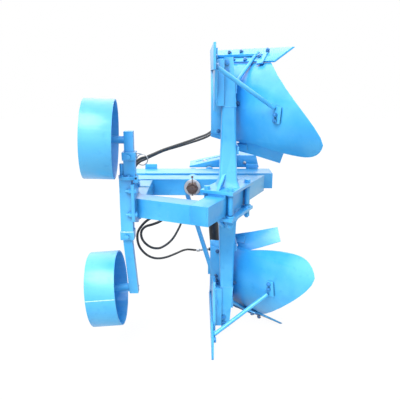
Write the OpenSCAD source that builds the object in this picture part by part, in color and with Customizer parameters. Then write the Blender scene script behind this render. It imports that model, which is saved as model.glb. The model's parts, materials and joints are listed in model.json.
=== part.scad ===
// Mounted reversible plough with two opposed bottoms, a turnover shaft and a pair of gauge wheels.
// Lengths are millimetres. X points to the right of travel, Y forward, Z up, and the sole stands on z = 0.

/* [Frame beams] */
// Side of the square main and rear beams
tube_side = 100; // [90:1:110]
// Wall of the beam tubes
tube_wall = 8; // [5:0.5:10]
// Angle of the main beam to the direction of travel
beam_skew = 25.3; // [23:0.1:27]
// Distance from the rear corner to the rear face of the front beam
front_beam_y = 656; // [640:1:670]
// Depth of the front beam along the travel
front_beam_depth = 122; // [100:1:130]
// Reach of the front beam to the left of the rear corner
front_beam_reach = 430; // [400:1:450]
// Distance of the rear beam's left end from the rear corner
rear_beam_reach = 368; // [360:1:372]
// Width of the side rail between the two cross beams
rail_width = 74; // [50:1:80]
// Depth of the step cut in the top of the side rail
rail_step = 18; // [8:1:25]

/* [Turnover] */
// Height of the turnover axis over the sole
axis_height = 810; // [780:1:840]
// Sideways place of the turnover axis
axis_x = -86; // [-96:1:-76]
// Diameter of the turnover shaft
shaft_d = 60; // [50:1:62]
// Diameter of the threaded rear end of the shaft
thread_d = 42; // [36:1:44]
// Outer diameter of the sleeve through the front beam
boss_d = 80; // [76:1:90]
// Outer diameter of the bearing tube through the hitch beam
hub_d = 92; // [88:1:96]
// Outer diameter of the two bearing bushes
bush_d = 72; // [68:1:76]
// Radial running clearance of the shaft in its bushes
bush_gap = 0.05; // [0.02:0.01:0.1]
// Across-corner diameter of the castle nut
nut_d = 74; // [66:1:80]
// Thickness of the castle nut
nut_length = 40; // [34:1:44]
// Diameter of the thrust washer
washer_d = 100; // [90:1:104]
// Thickness of the thrust washer
washer_length = 8; // [5:0.5:10]
// Diameter of the split pin
split_pin_d = 6; // [4:0.5:8]

/* [Headstock] */
// Distance from the rear corner to the rear face of the hitch beam
hitch_beam_y = 845; // [835:1:855]
// Depth of the hitch beam along the travel
hitch_beam_depth = 165; // [150:1:175]
// Height of the hitch beam
hitch_beam_height = 100; // [90:1:104]
// Left end of the hitch beam
hitch_left = -497; // [-505:1:-490]
// Right end of the hitch beam
hitch_right = 430; // [420:1:440]
// Spread of the lower link pins, centre to centre of their brackets
link_spread = 683; // [660:1:700]
// Diameter of the lower link pins
link_pin_d = 22; // [20:0.1:28]
// Free length of a lower link pin
link_pin_free = 75; // [60:1:90]
// Bore of the mast for the top link's pin
top_bore_d = 19.5; // [16:0.1:22]
// Height of the top link's bore over the lower link pins
mast_height = 460; // [440:1:470]
// Clear width between the two mast plates
mast_gap = 52; // [48:1:56]
// Thickness of the mast plates
mast_plate = 12; // [8:0.5:14]
// Side of the square parking stand tube
stand_side = 40; // [35:1:42]
// Clearance of the stand tube in its sleeve
stand_gap = 0.5; // [0.3:0.1:1]
// Width of the parking stand's foot
foot_side = 96; // [80:1:120]
// Diameter of the turnover cylinder's barrel
barrel_d = 70; // [60:1:76]
// Length of the barrel from its pivot to its gland
barrel_length = 440; // [420:1:450]
// Diameter of the cylinder rod
rod_d = 35; // [30:1:40]
// Radius of the turnover crank
crank_r = 115; // [110:1:120]
// Distance from the turnover axis to the cylinder's base pivot
pivot_reach = 621; // [615:1:626]
// Gap between the crank's front face and the cylinder rod
rod_gap = 2.5; // [2:0.5:5]
// Diameter of the cylinder's base pin and crank pin
cylinder_pin_d = 25; // [20:1:28]

/* [Wheel post] */
// Side of the square wheel post
post_side = 62; // [58:1:64]
// Wall of the wheel post
post_wall = 7; // [5:0.5:7.5]
// Sideways place of the wheel post
post_x = -415; // [-418:1:-413]
// Distance of the wheel post forward of the rear corner
post_y = 171; // [168:1:174]
// Thickness of each bolted post plate
post_plate_t = 8; // [6:0.5:9]
// Side of the square wheel arms
arm_side = 46; // [42:1:47]
// Sideways place of the upper wheel arm
upper_arm_x = -393; // [-395:1:-391]
// Outer side of the upper sleeve
sleeve_side = 57; // [54:1:60]
// Clearance between an arm and its sleeve
arm_gap = 1; // [0.5:0.1:1.5]
// Lean of the lower wheel arm below the post
lower_lean = 4.5; // [0:0.1:6]
// Travel of each wheel arm
arm_travel = 80; // [40:1:90]

/* [Wheels] */
// Outer diameter of the gauge wheels
wheel_d = 396; // [370:1:410]
// Width of the wheel rim
wheel_width = 152; // [130:1:160]
// Thickness of the rim
rim_wall = 6; // [4:0.5:8]
// Height of the upper axle over the turnover axis
upper_axle_z = 352; // [340:1:360]
// Depth of the lower axle below the turnover axis
lower_axle_z = 434; // [425:1:440]
// Gap between an arm and the inner edge of its wheel
wheel_stand_off = 44; // [40:1:50]
// Diameter of the stub axles
axle_d = 38; // [34:1:42]
// Toe-out of the upper wheel
upper_toe = 4; // [0:0.1:5]
// Camber of the upper wheel
upper_camber = 2.2; // [0:0.1:4]

/* [Plough bottoms] */
// Radius of the mouldboard's curve
board_r = 330; // [326:1:334]
// Thickness of the mouldboard
board_t = 8; // [6:0.5:10]
// Height of the curve's centre over the sole
board_centre_h = 351; // [345:1:355]
// Cutting edge's reach along the share's normal
share_reach = 641; // [639:1:643]
// Lead of the curve's centre over the cutting edge
board_lead = 74; // [71:1:77]
// Pitch of the share
share_pitch = 35; // [34:0.1:36]
// Thickness of the share
share_t = 10; // [8:0.5:12]
// Height of the share's top edge
share_h = 81; // [80:1:82]
// Height of the landside bar
landside_h = 120; // [110:1:125]
// Thickness of the landside bar
landside_t = 12; // [8:0.5:12]
// Sideways place of the landside face
landside_x = 22; // [20:1:24]
// Distance of the heel forward of the rear corner
heel_y = 60; // [50:1:75]
// Diameter of the brace rods
brace_d = 22; // [18:1:25]
// Distance along the main beam to the centre of the leg clamp
clamp_t = 370; // [366:1:374]
// Spacing of the clamp bolts along the main beam
clamp_bolt_pitch = 253; // [245:1:260]
// Gap between a clamp bolt and the side of the main beam
clamp_bolt_gap = 7; // [5:1:9]
// Diameter of the clamp bolts
clamp_bolt_d = 20; // [18:1:22]
// Thickness of the clamp's base flange
clamp_plate_t = 30; // [24:1:34]
// Width of the leg at its foot
leg_foot_width = 45; // [40:1:50]
// Depth of the leg along the travel
leg_depth = 84; // [76:1:88]

/* [Hoses] */
// Outer diameter of the hydraulic hoses
hose_d = 14; // [12:1:16]

/* [Hidden] */
$fn = 48;

far = 3000;
seat_gap = 0.3;
half_tube = tube_side / 2;
front_face_y = front_beam_y + front_beam_depth;
hitch_front_y = hitch_beam_y + hitch_beam_depth;
half_hitch = hitch_beam_height / 2;
skew_s = sin(beam_skew);
skew_c = cos(beam_skew);
main_beam_length = (front_face_y + tube_side) / skew_c;

// Turnover shaft, from the castle nut forward to the crank
boss_rear_y = front_beam_y - 2;
washer_y = boss_rear_y - washer_length;
nut_y = washer_y - nut_length;
thread_end_y = nut_y - 6;
hub_rear_y = front_face_y + 5;
hub_front_y = hitch_front_y + 3;
bush_length = 60;
bush_bore = shaft_d + 2 * bush_gap;
crank_t = 22;
crank_rear_y = hub_front_y + seat_gap * 2;
crank_front_y = crank_rear_y + crank_t;
split_pin_y = nut_y + 9;

// Turnover cylinder, in the plane in front of the crank
crank_angle = 15;
rod_eye_t = 28;
rod_plane_y = crank_front_y + rod_gap + rod_d / 2;
pivot_x = axis_x + pivot_reach * sin(crank_angle);
pivot_z = -pivot_reach * cos(crank_angle);
crank_pin_x = axis_x + crank_r * cos(crank_angle);
crank_pin_z = crank_r * sin(crank_angle);
cylinder_reach = sqrt(pow(crank_pin_x - pivot_x, 2) + pow(crank_pin_z - pivot_z, 2));
cylinder_lean = atan2(crank_pin_x - pivot_x, crank_pin_z - pivot_z);
pin_gap = 0.05;
eye_r = 27;

// Rear beam's left end and the wheel post's bolted plates
rear_end_x = -rear_beam_reach;
flange_x = rear_end_x - post_plate_t;
plate_x = flange_x - post_plate_t;
post_right_x = post_x + post_side / 2;
post_top_z = 155;
post_bottom_z = -162;
collar_z = -119;
head_top_z = 173;
head_d = 94;
head_x = post_x + 10;
head_bolts = [163, 125, -125, 76, -76];
sleeve_top_z = 294;
band_z = 253;
plate_bolts = [[124, 100], [276, 100], [124, -22], [276, -76]];
rail_left_x = -400;
rail_rear_y = 330;

// Wheel arms and wheels
upper_arm_top = upper_axle_z + 44;
lower_arm_bottom = -lower_axle_z - 31;
kink_z = post_bottom_z - arm_travel * 0.1;
lower_axle_x = post_x + (lower_axle_z + kink_z) * tan(lower_lean);
arm_drop = kink_z - lower_arm_bottom;
arm_drift = arm_drop * tan(lower_lean);
hub_tube_d = 70;
hub_inset = 62;
hub_tube_length = 66;
disc_inset = 84;
disc_t = 8;
axle_gap = 0.05;
axle_length = wheel_stand_off + 148;

// Plough bottom: u runs along the share's normal, v along its edge, h up from the sole
board_turn = 45;
board_centre_u = share_reach + board_lead;
share_shift = (share_reach - 641) / sin(board_turn);
share_back_u = share_reach - share_h / tan(share_pitch);
board_top_h = 505;
board_outline = concat([[22, 79], [23, 492], [75, 503], [160, 504]],
    bezier([253, board_top_h], [300, 520], [390, 545], [467, 547]),
    bezier([467, 547], [515, 549], [545, 530], [545, 470]),
    bezier([545, 470], [530, 395], [362, 232], [336, 79]), [[336, 79]]);
board_right_x = 545;
leg_x = 112;
leg_y = 356;
leg_foot_left = 84;
leg_foot_h = 58;
leg_step_h = 305;
clamp_top_h = axis_height - half_tube;
clamp_low_h = clamp_top_h - clamp_plate_t;
clamp_half_t = clamp_bolt_pitch / 2;
clamp_n = half_tube + clamp_bolt_gap + clamp_bolt_d / 2;
share_bolts = [[41, 435, 0], [37, 348, 0], [106, 347, 0], [106, 261, 0], [93, 168, 8], [45, 150, 8]];
brace_foot = [40, 140, 108];
brace_head = [340, 222, 312];

// Place of the whole model: middle of its outline on the ground
function wheel_reach(lean) = (wheel_stand_off + wheel_width) * lean + wheel_d / 2 * sqrt(1 - lean * lean);
wheel_out_x = min(upper_arm_x - arm_side / 2 - wheel_reach(cos(upper_toe) * cos(upper_camber)),
    lower_axle_x - arm_side / 2 * cos(lower_lean) - wheel_reach(cos(lower_lean)));
rear_reach_y = post_y - wheel_d / 2 * cos(upper_toe) - (wheel_stand_off + wheel_width) * sin(upper_toe);
mast_y = hitch_front_y + 90;
gusset_y = hitch_front_y + 75;
gusset_depth = 200;
mid_x = (wheel_out_x + board_right_x) / 2;
mid_y = (rear_reach_y + gusset_y + gusset_depth) / 2;

// Hose routes, chosen by hand
outer_hose = [[84, 1070, 404], [84, 1070, 376], [81, 1062, 346], [70, 1038, 318], [48, 1000, 296],
    [10, 940, 276], [-40, 890, 262], [-84, 840, 254], [-165, 720, 244], [-245, 600, 236],
    [-300, 520, 222], [-345, 440, 210], [-368, 385, 206], [-386, 338, 190], [-394, 314, 158],
    [-395, 310, 116], [-395, 310, 60], [-395, 310, 0], [-395, 311, -34], [-393, 319, -56],
    [-390, 336, -70], [-386, 360, -76], [-380, 392, -79], [-363, 433, -82], [-322, 450, -85],
    [-281, 433, -88], [-264, 392, -91], [-281, 351, -96], [-316, 335, -105], [-353, 346, -136],
    [-389, 370, -192], [-397, 400, -254], [-388, 440, -314], [-361, 500, -377], [-327, 570, -425],
    [-290, 650, -459], [-249, 750, -486], [-201, 850, -501], [-158, 935, -511], [-130, 1003, -529],
    [-105, 1042, -544], [-82, 1055, -551.3], [-66.4, 1055.6, -552.8]];
inner_hose = [[84, 1036, 404], [84, 1036, 380], [80, 1028, 352], [66, 1004, 330], [42, 966, 312],
    [0, 905, 292], [-50, 850, 280], [-100, 780, 270], [-175, 670, 258], [-250, 560, 246],
    [-300, 480, 234], [-335, 410, 228], [-362, 360, 226], [-390, 328, 208], [-407, 314, 172],
    [-413, 310, 130], [-414, 310, 80], [-414, 310, 0], [-414, 312, -34], [-412, 326, -62],
    [-408, 354, -76], [-402, 392, -82], [-379, 449, -88], [-322, 472, -94], [-265, 449, -100],
    [-242, 392, -106], [-246, 352, -113], [-268, 334, -124], [-304, 330, -137], [-340, 336, -150],
    [-364, 350, -176], [-372, 370, -212], [-366, 400, -254], [-348, 430, -290], [-324, 465, -320],
    [-298, 500, -338], [-273, 540, -347], [-238, 600, -343], [-206, 660, -325], [-176, 740, -290],
    [-158, 810, -262], [-146, 880, -240], [-134, 950, -222], [-112, 1010, -208], [-84, 1044, -202.5],
    [-58, 1054.6, -201], [-38.1, 1055.6, -199.5]];

PAINT = "#4db2f0";
STEEL = "#b8bcc0";
RUST = "#5a4038";
BLACK = "#202224";
PALE = "#d4d6d6";
BRONZE = "#b08040";

// Points of a cubic curve, all but its last
function bezier(a, b, c, d) = [for (i = [0:6]) let (t = i / 7, r = 1 - t)
    r * r * r * a + 3 * r * r * t * b + 3 * r * t * t * c + t * t * t * d];

// Places: frame coordinates have z = 0 on the turnover axis
module placed() {
    translate([-mid_x, -mid_y, axis_height])
        children();
}

module skewed() {
    rotate([0, 0, -beam_skew])
        children();
}

module lower_bottom() {
    translate([0, 0, -axis_height])
        children();
}

module upper_bottom() {
    mirror([0, 0, 1])
        lower_bottom()
            children();
}

module share_axes() {
    translate([landside_x, 0, 0])
        rotate([0, 0, board_turn])
            children();
}

// Small shapes that repeat
module box_tube(width, depth, length, wall) {
    difference() {
        translate([-width / 2, -depth / 2, 0])
            cube([width, depth, length]);
        translate([wall - width / 2, wall - depth / 2, -1])
            cube([width - 2 * wall, depth - 2 * wall, length + 2]);
    }
}

module ring(outer, inner, length) {
    difference() {
        cylinder(d = outer, h = length);
        translate([0, 0, -1])
            cylinder(d = inner, h = length + 2);
    }
}

module along_y(x, y, z) {
    translate([x, y, z])
        rotate([-90, 0, 0])
            children();
}

module along_x(x, y, z) {
    translate([x, y, z])
        rotate([0, 90, 0])
            children();
}

module hex(across, height) {
    cylinder(d = across / cos(30), h = height, $fn = 6);
}

module nut(thread, height) {
    difference() {
        hex(thread * 1.5, height);
        translate([0, 0, -1])
            cylinder(d = thread, h = height + 2);
    }
}

// Bolt along +Z from its head's seat at z = 0, with its nut's seat at grip
module bolt(thread, length) {
    cylinder(d = thread, h = length);
    translate([0, 0, -thread * 0.65])
        hex(thread * 1.5, thread * 0.65);
}

module bolted(thread, grip, spare) {
    bolt(thread, grip + thread * 0.8 + spare);
    translate([0, 0, grip])
        nut(thread, thread * 0.8);
}

// Frame beams
module main_beam() {
    color(PAINT)
        placed()
            difference() {
                skewed()
                    translate([-half_tube, 0, 0])
                        rotate([-90, 0, 0])
                            box_tube(tube_side, tube_side, main_beam_length, tube_wall);
                translate([-far / 2, front_face_y, -far / 2])
                    cube(far);
            }
}

module rear_beam() {
    color(PAINT)
        placed() {
            difference() {
                skewed()
                    translate([-tube_side, half_tube, 0])
                        rotate([0, -90, 0])
                            box_tube(tube_side, tube_side, rear_beam_reach * 1.5, tube_wall);
                translate([rear_end_x - far, -far / 2, -far / 2])
                    cube(far);
            }
            post_flange(flange_x);
        }
}

// Plate on either side of the wheel post's bolted joint
module post_flange(left_x) {
    difference() {
        translate([left_x, 0, 0])
            rotate([90, 0, 90])
                linear_extrude(post_plate_t)
                    polygon([[110, -56], [110, 135], [296, 135], [296, -98], [246, -98]]);
        for (b = plate_bolts)
            along_x(left_x - 1, b[0], b[1])
                cylinder(d = 16, h = post_plate_t + 2);
    }
}

module front_beam() {
    color(PAINT)
        placed()
            difference() {
                translate([-front_beam_reach, front_beam_y + front_beam_depth / 2, 0])
                    rotate([0, 90, 0])
                        box_tube(tube_side, front_beam_depth, far / 2, tube_wall);
                skewed()
                    translate([-tube_side, -far / 2, -far / 2])
                        cube(far);
                along_y(axis_x, front_beam_y - 1, 0)
                    cylinder(d = boss_d, h = front_beam_depth + 2);
            }
}

module shaft_boss() {
    color(PAINT)
        placed()
            along_y(axis_x, boss_rear_y, 0)
                ring(boss_d, shaft_d, hub_rear_y - seat_gap - boss_rear_y);
}

module side_rail() {
    color(PAINT)
        placed()
            difference() {
                union() {
                    translate([rail_left_x, rail_rear_y, -half_tube])
                        cube([rail_width, front_beam_y - rail_rear_y, tube_side]);
                    translate([rear_end_x, 200, -half_tube])
                        cube([rail_width + rail_left_x - rear_end_x, rail_rear_y - 200, tube_side]);
                }
                skewed()
                    translate([-far / 2, tube_side - far, -far / 2])
                        cube(far);
                translate([rail_left_x + tube_wall, rail_rear_y + tube_wall, tube_wall - half_tube])
                    cube([rail_width - 2 * tube_wall, front_beam_y - rail_rear_y - tube_wall + 1,
                        tube_side - 2 * tube_wall]);
                for (y = [440, 634])
                    translate([rail_left_x - 1, y, half_tube - rail_step])
                        cube([rail_width + 2, 22, rail_step + 1]);
            }
}

module beam_caps() {
    inner = tube_side - 2 * tube_wall;
    color(PAINT)
        placed() {
            skewed()
                translate([tube_wall - tube_side, 0, -inner / 2])
                    cube([inner, tube_wall, inner]);
            intersection() {
                skewed()
                    translate([tube_wall - tube_side, 0, -inner / 2])
                        cube([inner, main_beam_length, inner]);
                translate([-far / 2, front_face_y - tube_wall, -far / 2])
                    cube([far, tube_wall, far]);
            }
            translate([-front_beam_reach, front_beam_y + tube_wall, -inner / 2])
                cube([tube_wall, front_beam_depth - 2 * tube_wall, inner]);
        }
}

// Turnover shaft and its rear fastening
module turnover_shaft() {
    color(RUST)
        placed()
            difference() {
                union() {
                    along_y(axis_x, boss_rear_y, 0)
                        cylinder(d = shaft_d, h = crank_front_y - boss_rear_y);
                    along_y(axis_x, thread_end_y, 0)
                        cylinder(d = thread_d, h = boss_rear_y - thread_end_y + 1);
                }
                translate([axis_x, split_pin_y, -far / 2])
                    cylinder(d = split_pin_d, h = far);
            }
}

module thrust_washer() {
    color(PALE)
        placed()
            along_y(axis_x, washer_y, 0)
                ring(washer_d, thread_d, washer_length);
}

module castle_nut() {
    crown = 15;
    color(RUST)
        placed()
            difference() {
                union() {
                    along_y(axis_x, nut_y, 0)
                        cylinder(d = nut_d * 0.86, h = crown + 1);
                    along_y(axis_x, nut_y + crown, 0)
                        hex(nut_d * cos(30), nut_length - crown);
                }
                along_y(axis_x, nut_y - 1, 0)
                    cylinder(d = thread_d, h = nut_length + 2);
                for (turn = [0, 60, 120])
                    translate([axis_x, nut_y, 0])
                        rotate([0, turn, 0])
                            translate([-4, -1, -nut_d])
                                cube([8, crown - 1, nut_d * 2]);
            }
}

module split_pin() {
    color(RUST)
        placed() {
            translate([axis_x, split_pin_y, -43])
                cylinder(d = split_pin_d, h = 112);
            translate([axis_x, split_pin_y, 72])
                rotate([90, 0, 0])
                    translate([0, 0, -2])
                        cylinder(d = 15, h = 4);
        }
}

// Plate from one eye to another in the XZ plane, its rear face at y
module link_plate(from, to, width, thick, y) {
    dx = to[0] - from[0];
    dz = to[1] - from[1];
    translate([from[0], y, from[1]])
        rotate([0, atan2(dx, dz), 0])
            translate([-width / 2, 0, 0])
                cube([width, thick, sqrt(dx * dx + dz * dz)]);
}

// Web between the crank's two bosses, thinner than they are
module crank_arm() {
    translate([axis_x, crank_rear_y + 3, 0])
        rotate([0, 90 - crank_angle, 0])
            translate([5 - eye_r, 0, 36])
                cube([2 * eye_r - 10, crank_t - 6, crank_r - 36 - cylinder_pin_d / 2 - 5]);
}

module crank_lever() {
    color(PAINT)
        placed()
            difference() {
                union() {
                    along_y(axis_x, crank_rear_y, 0)
                        cylinder(d = shaft_d + 40, h = crank_t);
                    along_y(crank_pin_x, crank_rear_y, crank_pin_z)
                        cylinder(r = eye_r, h = crank_t);
                    crank_arm();
                }
                along_y(axis_x, crank_rear_y - 1, 0)
                    cylinder(d = shaft_d, h = crank_t + 2);
                along_y(crank_pin_x, crank_rear_y - 1, crank_pin_z)
                    cylinder(d = cylinder_pin_d + 2 * pin_gap, h = crank_t + 2);
            }
}

// Headstock
module hitch_beam() {
    color(PAINT)
        placed()
            difference() {
                translate([hitch_left, hitch_beam_y, -half_hitch])
                    cube([hitch_right - hitch_left, hitch_beam_depth, hitch_beam_height]);
                for (side = [-1, 1])
                    translate([side > 0 ? axis_x + hub_d / 2 + 14 : hitch_left + tube_wall,
                            hitch_beam_y + tube_wall, tube_wall - half_hitch])
                        cube([side > 0 ? hitch_right - axis_x - hub_d / 2 - 14 - tube_wall
                                : axis_x - hub_d / 2 - 14 - hitch_left - tube_wall,
                            hitch_beam_depth - 2 * tube_wall, hitch_beam_height - 2 * tube_wall]);
                along_y(axis_x, hitch_beam_y - 1, 0)
                    cylinder(d = hub_d, h = hitch_beam_depth + 2);
            }
}

module bearing_hub() {
    color(PAINT)
        placed()
            along_y(axis_x, hub_rear_y, 0)
                ring(hub_d, bush_d, hub_front_y - hub_rear_y);
}

module bearing_bushes() {
    color(BRONZE)
        placed()
            for (y = [hub_rear_y, hub_front_y - bush_length])
                along_y(axis_x, y, 0)
                    ring(bush_d, bush_bore, bush_length);
}

mast_x = 148;
mast_root_y = hitch_front_y;
top_pin_z = mast_height - 60;
link_pin_z = -60;
link_y = hitch_front_y + 62;
link_centre_x = -29;
bracket_gap = 46;
bracket_t = 14;

module mast() {
    color(PAINT)
        placed() {
            for (side = [-1, 1])
                difference() {
                    translate([mast_x + side * (mast_gap + mast_plate) / 2 - mast_plate / 2, 0, 0])
                        rotate([90, 0, 90])
                            linear_extrude(mast_plate)
                                polygon([[mast_root_y, -half_hitch], [mast_root_y, half_hitch],
                                    [mast_y - 34, top_pin_z + 26], [mast_y + 34, top_pin_z + 26],
                                    [mast_y + 40, top_pin_z - 40], [mast_y + 66, 120],
                                    [mast_y + 40, -half_hitch]]);
                    along_x(mast_x - mast_gap, mast_y, top_pin_z)
                        cylinder(d = top_bore_d, h = 2 * mast_gap);
                }
            translate([mast_x - mast_gap / 2, mast_y - 10, 130])
                cube([mast_gap, 12, 120]);
            difference() {
                translate([outer_hose[0][0] - 20, inner_hose[0][1] - 22, coupler_rest_z])
                    cube([mast_x - mast_gap / 2 - mast_plate - outer_hose[0][0] + 20,
                        outer_hose[0][1] - inner_hose[0][1] + 44, holder_t]);
                for (route = [outer_hose, inner_hose])
                    translate([route[0][0], route[0][1], coupler_rest_z - 1])
                        cylinder(d = coupler_d, h = holder_t + 2);
            }
        }
}

module lower_link_brackets() {
    color(PAINT)
        placed()
            for (side = [-1, 1])
                difference() {
                    union() {
                        translate([link_centre_x + side * link_spread / 2 - 40, hitch_front_y, -half_hitch])
                            cube([80, 14, hitch_beam_height + 30]);
                        translate([link_centre_x + side * link_spread / 2 - bracket_t / 2, 0, 0])
                            rotate([90, 0, 90])
                                linear_extrude(bracket_t)
                                    polygon([[hitch_front_y, -half_hitch], [hitch_front_y, half_hitch + 30],
                                        [link_y + 10, half_hitch], [link_y + 34, -20],
                                        [link_y + 28, link_pin_z - 30], [link_y - 22, link_pin_z - 32]]);
                    }
                    along_x(link_centre_x + side * link_spread / 2 - bracket_t, link_y, link_pin_z)
                        cylinder(d = link_pin_d, h = 2 * bracket_t);
                }
}

module lower_link_pins() {
    collar_t = 10;
    color(STEEL)
        placed()
            for (side = [-1, 1])
                difference() {
                    translate([link_centre_x + side * link_spread / 2, link_y, link_pin_z])
                        rotate([0, 90 * side, 0]) {
                            translate([0, 0, -bracket_t / 2])
                                cylinder(d = link_pin_d, h = bracket_t + collar_t + link_pin_free);
                            translate([0, 0, bracket_t / 2])
                                cylinder(d = link_pin_d * 1.7, h = collar_t);
                            translate([0, 0, -bracket_t / 2 - 18])
                                nut(link_pin_d, 18);
                            translate([0, 0, -bracket_t / 2 - 20])
                                cylinder(d = link_pin_d, h = 20);
                        }
                    translate([link_centre_x + side * (link_spread / 2 + bracket_t / 2 + collar_t
                            + link_pin_free - 14), link_y, -far / 2])
                        cylinder(d = 10, h = far);
                }
}

coupler_d = 20;
coupler_rest_z = outer_hose[0][2] + 18;
holder_t = 8;
port_low = 58;
port_high = barrel_length - 32;
port_out = 12;

// Mouth of a port on the barrel's left side
function port_place(along) = [pivot_x + along * sin(cylinder_lean) - (barrel_d / 2 + port_out) * cos(cylinder_lean),
    rod_plane_y, pivot_z + along * cos(cylinder_lean) + (barrel_d / 2 + port_out) * sin(cylinder_lean)];

gusset_t = 6;
gusset_low = 44;

slope_bolt_x = -4;
rear_bolt_x = 268;
rear_bolt_z = 78;
bolt_hole_d = 12.8;

// On the wedge's sloping top, its own normal up
module on_slope(x, y) {
    translate([x, y, 54 + (x + 112) * 74 / 327])
        rotate([0, -atan2(74, 327), 0])
            children();
}

// Hollow wedge beside the mast, open below, with a long slot in its sloping top
module slotted_gusset() {
    color(PAINT)
        placed()
            difference() {
                translate([0, gusset_y + gusset_depth, 0])
                    rotate([90, 0, 0])
                        linear_extrude(gusset_depth)
                            polygon([[-112, gusset_low], [-112, 54], [215, 128], [346, 128],
                                [368, gusset_low]]);
                translate([0, gusset_y + gusset_depth - gusset_t, 0])
                    rotate([90, 0, 0])
                        linear_extrude(gusset_depth - 2 * gusset_t)
                            polygon([[-104, gusset_low - 1], [-104, 48], [216, 121], [341, 121],
                                [360, gusset_low - 1]]);
                for (x = [-60, 112])
                    translate([x, gusset_y + 118, 0])
                        cylinder(d = 26, h = far);
                translate([-60, gusset_y + 105, 0])
                    cube([172, 26, far]);
                on_slope(slope_bolt_x, gusset_y + 60)
                    translate([0, 0, -gusset_t * 3])
                        cylinder(d = bolt_hole_d, h = gusset_t * 4);
                along_y(rear_bolt_x, gusset_y - 1, rear_bolt_z)
                    cylinder(d = bolt_hole_d, h = gusset_t + 2);
                translate([mast_x - mast_gap / 2 - mast_plate - seat_gap, mast_root_y, -half_hitch])
                    cube([mast_gap + 2 * (mast_plate + seat_gap), mast_y + 70 - mast_root_y, far]);
            }
}

module headstock_bolts() {
    color(STEEL)
        placed() {
            on_slope(slope_bolt_x, gusset_y + 60) {
                translate([0, 0, seat_gap])
                    ring(38, 12, 3);
                translate([0, 0, seat_gap + 3])
                    hex(18, 9);
                translate([0, 0, -20])
                    cylinder(d = 12, h = 24);
            }
            along_y(rear_bolt_x, gusset_y - 9 - seat_gap, rear_bolt_z)
                hex(19, 9);
            along_y(rear_bolt_x, gusset_y - seat_gap, rear_bolt_z)
                cylinder(d = 12, h = gusset_t + 16);
        }
}

strut_y = hitch_beam_y + 42;
strut_t = 26;
strut_depth = 40;
strut_foot_x = pivot_x - 47;
base_plate_t = 14;

foot_left = strut_foot_x - 12;
foot_width = 92;
ear_gap = barrel_d / 2 + 4;

// V-shaped carrier under the hitch beam that holds the cylinder's base pin
module cylinder_strut() {
    color(PAINT)
        placed()
            difference() {
                union() {
                    intersection() {
                        union() {
                            link_plate([-140 - 16, 0], [strut_foot_x + 3, pivot_z - 12], strut_t,
                                strut_depth, strut_y);
                            link_plate([208, 0], [pivot_x + 16, pivot_z - 12], strut_t,
                                strut_depth, strut_y);
                        }
                        translate([-far / 2, 0, -half_hitch - far])
                            cube(far);
                    }
                    translate([foot_left, strut_y - 2, pivot_z - 66])
                        cube([foot_width, strut_depth + 4, 92]);
                    translate([foot_left + 2, strut_y + 10, pivot_z - 64])
                        cube([foot_width - 4, rod_plane_y + ear_gap + base_plate_t - strut_y - 8, base_plate_t]);
                    for (y = [rod_plane_y - ear_gap - base_plate_t, rod_plane_y + ear_gap]) {
                        along_y(pivot_x, y, pivot_z)
                            cylinder(r = 30, h = base_plate_t);
                        translate([pivot_x - 27, y, pivot_z - 58])
                            cube([54, base_plate_t, 50]);
                    }
                }
                along_y(pivot_x, rod_plane_y - ear_gap - base_plate_t - 1, pivot_z)
                    cylinder(d = cylinder_pin_d, h = far);
            }
}

module cylinder_base_pin() {
    start = rod_plane_y - ear_gap - base_plate_t - 4;
    color(STEEL)
        placed() {
            along_y(pivot_x, start, pivot_z)
                cylinder(d = cylinder_pin_d, h = 2 * ear_gap + 2 * base_plate_t + 8);
            along_y(pivot_x, start - 6, pivot_z)
                cylinder(d = cylinder_pin_d * 1.5, h = 6);
            along_y(pivot_x, rod_plane_y + ear_gap + base_plate_t + 4, pivot_z)
                cylinder(d = cylinder_pin_d * 1.5, h = 6);
        }
}

stand_x = hitch_left - stand_side / 2 - 8;
stand_y = hitch_beam_y + 120;
stand_top_z = 100;
sleeve_wall = 8 - stand_gap;

module stand_sleeve() {
    outer = stand_side + 16;
    color(PAINT)
        placed()
            difference() {
                translate([stand_x, stand_y, -70])
                    box_tube(outer, outer, 140, sleeve_wall);
                along_y(stand_x, stand_y - outer, 0)
                    cylinder(d = 14, h = 2 * outer);
            }
}

module stand_pin() {
    outer = stand_side + 16;
    color(STEEL)
        placed() {
            along_y(stand_x, stand_y - outer / 2 - 14, 0)
                cylinder(d = 14, h = 14 + sleeve_wall);
            along_y(stand_x, stand_y - outer / 2 - 20, 0)
                cylinder(d = 30, h = 6);
        }
}

module stand_tube() {
    color(PAINT)
        placed()
            difference() {
                translate([stand_x, stand_y, 8 - axis_height])
                    box_tube(stand_side, stand_side, axis_height + stand_top_z - 8, 5);
                for (z = [-360:60:0])
                    along_y(stand_x, stand_y - stand_side, z)
                        cylinder(d = 15, h = 2 * stand_side);
            }
}

module stand_foot() {
    color(PAINT)
        placed()
            translate([stand_x - foot_side / 2, stand_y - foot_side / 2, -axis_height])
                cube([foot_side, foot_side, 8]);
}

// Turnover cylinder, drawn up its own axis from the base pivot
module cylinder_axes() {
    translate([pivot_x, rod_plane_y, pivot_z])
        rotate([0, cylinder_lean, 0])
            children();
}

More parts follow.
